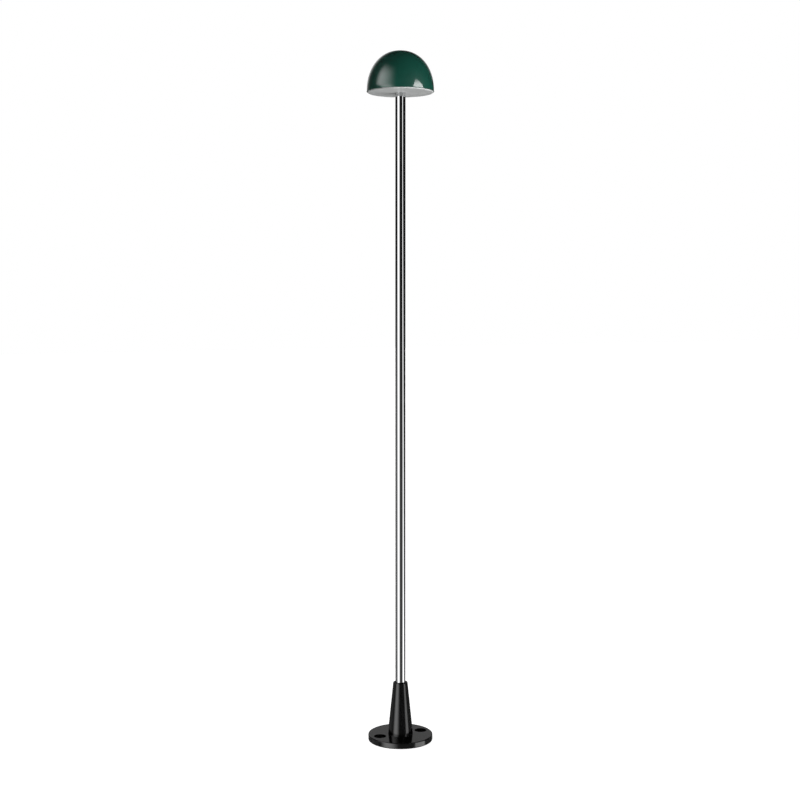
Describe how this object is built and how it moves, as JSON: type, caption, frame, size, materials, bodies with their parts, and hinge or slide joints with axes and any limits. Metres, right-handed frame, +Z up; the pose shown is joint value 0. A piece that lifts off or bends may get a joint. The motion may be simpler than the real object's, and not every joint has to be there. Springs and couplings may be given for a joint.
{
  "type": "floor lamp",
  "caption": "Straight pole floor lamp: gloss green dome over an opal light disc, chromed pole, black tapered socket on a round screw-down foot.",
  "frame": {"origin": "centre of the foot's underside", "axes": "+Z up along the pole; the two floor bolts lie on the X axis; the lock screw is on the +Y side"},
  "size_m": [0.144, 0.144, 1.498],
  "materials": {
    "black_enamel": "gloss black stove enamel",
    "black_rubber": "matt moulded rubber",
    "zinc_steel": "bright zinc plate",
    "white_nylon": "matt moulded nylon",
    "brass": "plain brass",
    "green_core": "extruded insulation",
    "white_sheath": "extruded sheath",
    "brown_core": "extruded insulation",
    "black_nylon": "moulded nylon, slightly glossy",
    "black_steel": "black oxide",
    "chrome": "polished chrome plate on steel",
    "bare_aluminium": "rolled sheet, satin",
    "grey_silicone": "soft matt sheet",
    "white_board": "white solder mask",
    "led_yellow": "phosphor under clear resin",
    "white_case": "moulded case",
    "red_wire": "extruded insulation",
    "opal": "opal acrylic, polished",
    "green_enamel": "gloss dark green enamel outside, white inside"
  },
  "bodies": {
    "base": {"base_socket": "black_enamel", "base_pad": "black_rubber", "bottom_plate": "zinc_steel", "plate_screws": "zinc_steel", "cable_grommet": "black_rubber", "terminal_block": "white_nylon", "terminal_screws": "brass", "block_screws": "zinc_steel", "earth_tag": "brass", "earth_screw": "zinc_steel", "earth_wire": "green_core", "base_lead": "white_sheath", "block_cores": "brown_core", "pole_bush": "black_nylon", "pressure_pad": "brass", "lock_screw": "black_steel"},
    "runner": {"pole_runner": "black_nylon"},
    "pole": {"pole": "chrome", "stop_pin": "black_steel", "pole_lead": "white_sheath", "pole_plug": "zinc_steel", "plug_screws": "black_steel", "nipple": "zinc_steel", "lock_washer": "zinc_steel", "hex_nut": "zinc_steel", "carrier": "bare_aluminium", "thermal_pad": "grey_silicone", "led_board": "white_board", "led_chips": "led_yellow", "board_screws": "zinc_steel", "driver": "white_case", "driver_screws": "zinc_steel", "supply_cores": "brown_core", "board_wires": "red_wire", "wire_grommet": "black_rubber", "diffuser": "opal", "bayonet_lugs": "zinc_steel", "lug_screws": "zinc_steel"},
    "shade": {"dome_shade": "green_enamel", "shade_ring": "bare_aluminium"}
  },
  "joints": [
    {"name": "pole_height", "type": "slide", "parent": "base", "child": "runner", "axis": [0, 0, 1], "range_m": [0, 0.04]},
    {"name": "pole_turn", "type": "hinge", "parent": "runner", "child": "pole", "pos_m": [0, 0, 0.06], "axis": [0, 0, 1], "range_deg": [-160, 160]},
    {"name": "shade_twist", "type": "hinge", "parent": "pole", "child": "shade", "pos_m": [0, 0, 1.43], "axis": [0, 0, 1], "range_deg": [0, 24]}
  ]
}
